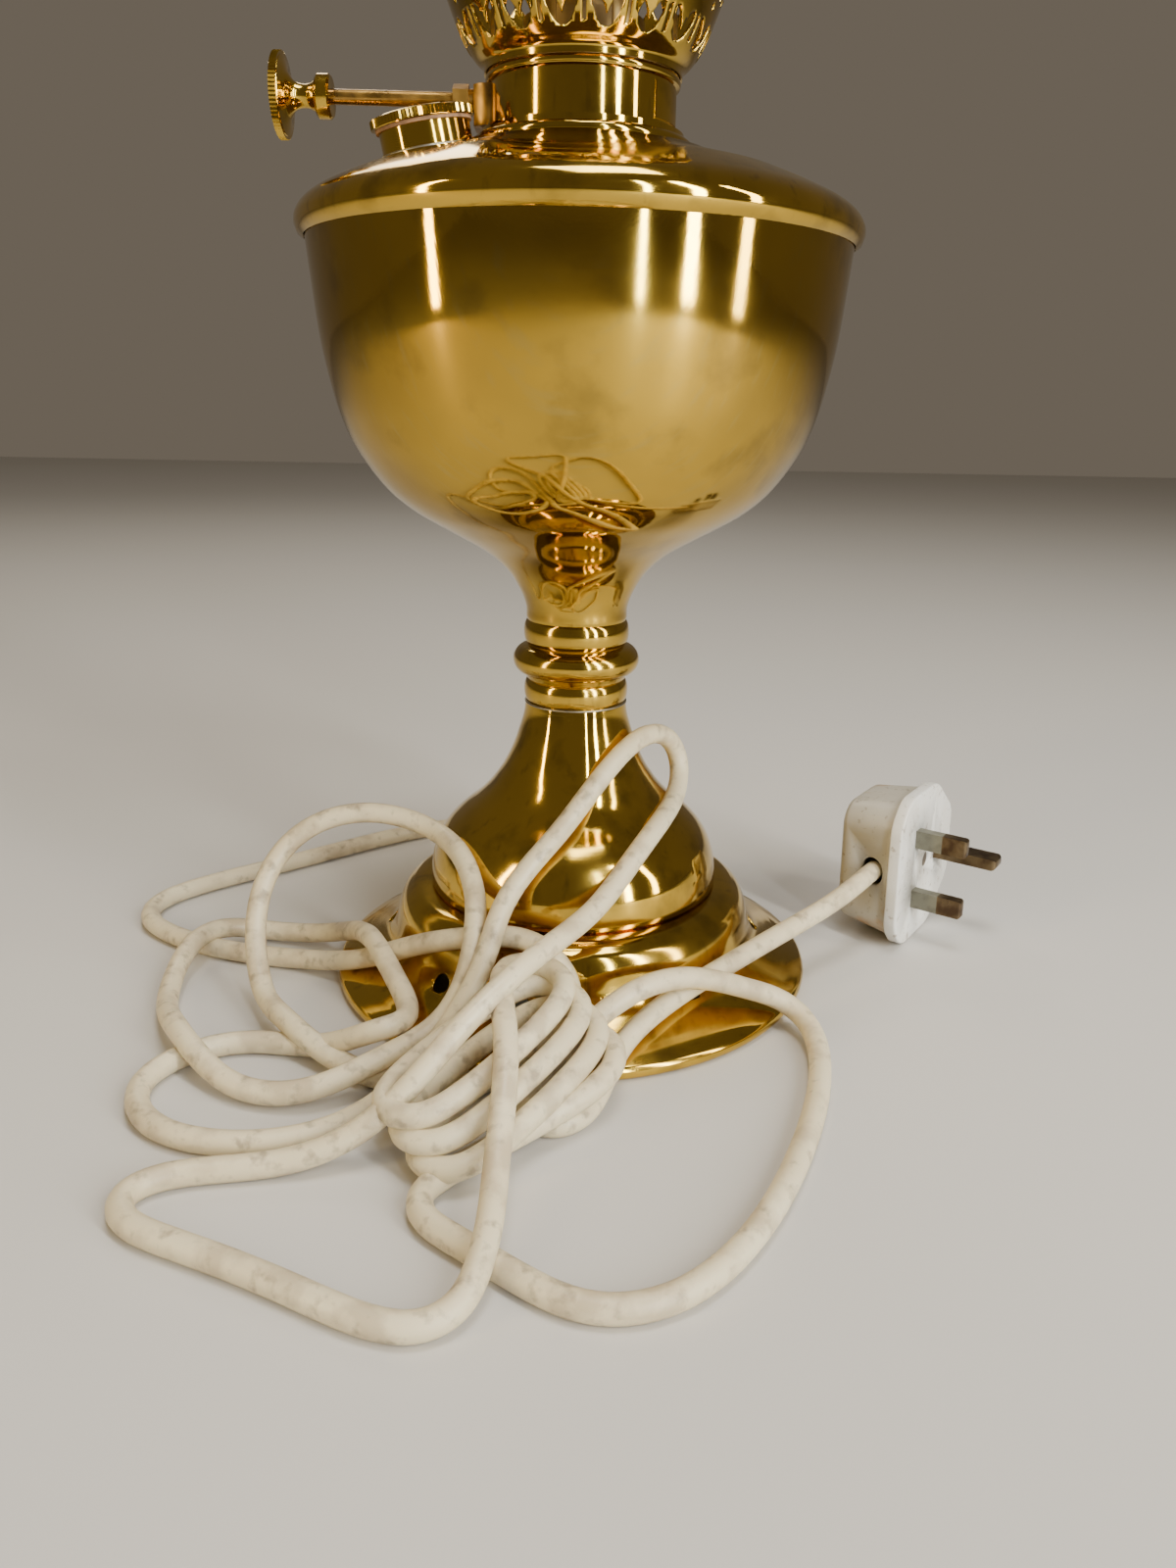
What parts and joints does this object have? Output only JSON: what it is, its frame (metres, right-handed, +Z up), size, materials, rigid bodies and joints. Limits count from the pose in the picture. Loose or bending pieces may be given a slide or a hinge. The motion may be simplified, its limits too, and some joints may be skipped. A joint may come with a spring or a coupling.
{
  "type": "oil lamp converted to an electric table lamp",
  "caption": "Polished brass round-burner oil lamp on a knopped stem and perforated round foot, converted to an electric table lamp with a white flex and three-pin plug.",
  "frame": {"origin": "centre of the foot's underside, on the surface that the lamp stands on", "axes": "+Z up along the lamp, the wick winder points along -X, the front of the lamp faces -Y"},
  "size_m": [0.3085, 0.2897, 0.334],
  "materials": {
    "polished_brass": "polished, lightly tarnished, fine scratches",
    "dull_brass": "dull, tarnished",
    "cotton_wick": "woven cotton",
    "washer_leather": "matt, worn",
    "bakelite": "moulded",
    "white_rubber": "matt",
    "flex_sheath": "aged, slightly soiled",
    "plug_plastic": "aged white",
    "plug_metal": "worn, oxidised",
    "pin_sleeve": "satin",
    "fuse_ceramic": "glazed"
  },
  "bodies": {
    "lamp": {"foot_skirt": "polished_brass", "foot_bell": "polished_brass", "foot_locknut": "dull_brass", "stem_knop": "polished_brass", "font_bowl": "polished_brass", "font_shoulder": "polished_brass", "font_collar": "polished_brass", "draught_tube": "dull_brass", "filler_neck": "polished_brass", "burner_collar": "polished_brass", "burner_deck": "dull_brass", "outer_wick_tube": "dull_brass", "winder_housing": "polished_brass", "winder_gland": "polished_brass", "maker_plate": "polished_brass", "lampholder_bridge": "dull_brass", "lampholder_nipple": "polished_brass", "lampholder_locknut": "polished_brass", "lampholder_base": "polished_brass", "lampholder_barrel": "polished_brass", "shade_ring": "polished_brass", "lampholder_insulator": "bakelite", "flex_grommet": "white_rubber", "inner_flex": "flex_sheath", "flex_lamp_side": "flex_sheath", "flex_coil": "flex_sheath", "flex_plug_side": "flex_sheath", "plug_base": "plug_plastic", "plug_cover": "plug_plastic", "plug_live_pin": "plug_metal", "plug_neutral_pin": "plug_metal", "plug_earth_pin": "plug_metal", "plug_pin_sleeves": "pin_sleeve", "plug_fuse": "fuse_ceramic", "plug_cord_grip": "plug_plastic", "plug_screws": "plug_metal"},
    "washer": {"filler_washer": "washer_leather"},
    "cap": {"filler_cap": "polished_brass"},
    "wick_lifter": {"wick_carrier": "dull_brass", "wick": "cotton_wick"},
    "winder": {"winder_shaft": "polished_brass", "winder_pinion": "dull_brass", "winder_knob": "polished_brass"},
    "gallery": {"gallery": "polished_brass", "chimney_springs": "dull_brass"},
    "plunger_live": {"contact_plunger_live": "polished_brass"},
    "plunger_neutral": {"contact_plunger_neutral": "polished_brass"}
  },
  "joints": [
    {"name": "winder_turn", "type": "hinge", "parent": "lamp", "child": "winder", "pos_m": [-0.0215, 0, 0.267], "axis": [1, 0, 0], "range_deg": [0, 183.35]},
    {"name": "wick_lift", "type": "slide", "parent": "lamp", "child": "wick_lifter", "axis": [0, 0, 1], "range_m": [0, 0.016]},
    {"name": "cap_rise", "type": "slide", "parent": "lamp", "child": "washer", "axis": [-0.1928, -0.0779, 0.9781], "range_m": [0, 0.0075]},
    {"name": "cap_turn", "type": "hinge", "parent": "washer", "child": "cap", "pos_m": [-0.04344, -0.01755, 0.25587], "axis": [-0.1928, -0.0779, 0.9781], "range_deg": [0, 1800]},
    {"name": "gallery_lift", "type": "slide", "parent": "lamp", "child": "gallery", "axis": [0, 0, 1], "range_m": [0, 0.03]},
    {"name": "live_plunger_press", "type": "slide", "parent": "lamp", "child": "plunger_live", "axis": [0, 0, -1], "range_m": [0, 0.0025], "stiffness_N_per_m": 600, "springref_m": -0.003},
    {"name": "neutral_plunger_press", "type": "slide", "parent": "lamp", "child": "plunger_neutral", "axis": [0, 0, -1], "range_m": [0, 0.0025], "stiffness_N_per_m": 600, "springref_m": -0.003}
  ],
  "couplings": [
    {"joint": "winder_turn", "follows": "wick_lift", "rad_per_m": 200},
    {"joint": "cap_turn", "follows": "cap_rise", "rad_per_m": 4188.8}
  ]
}
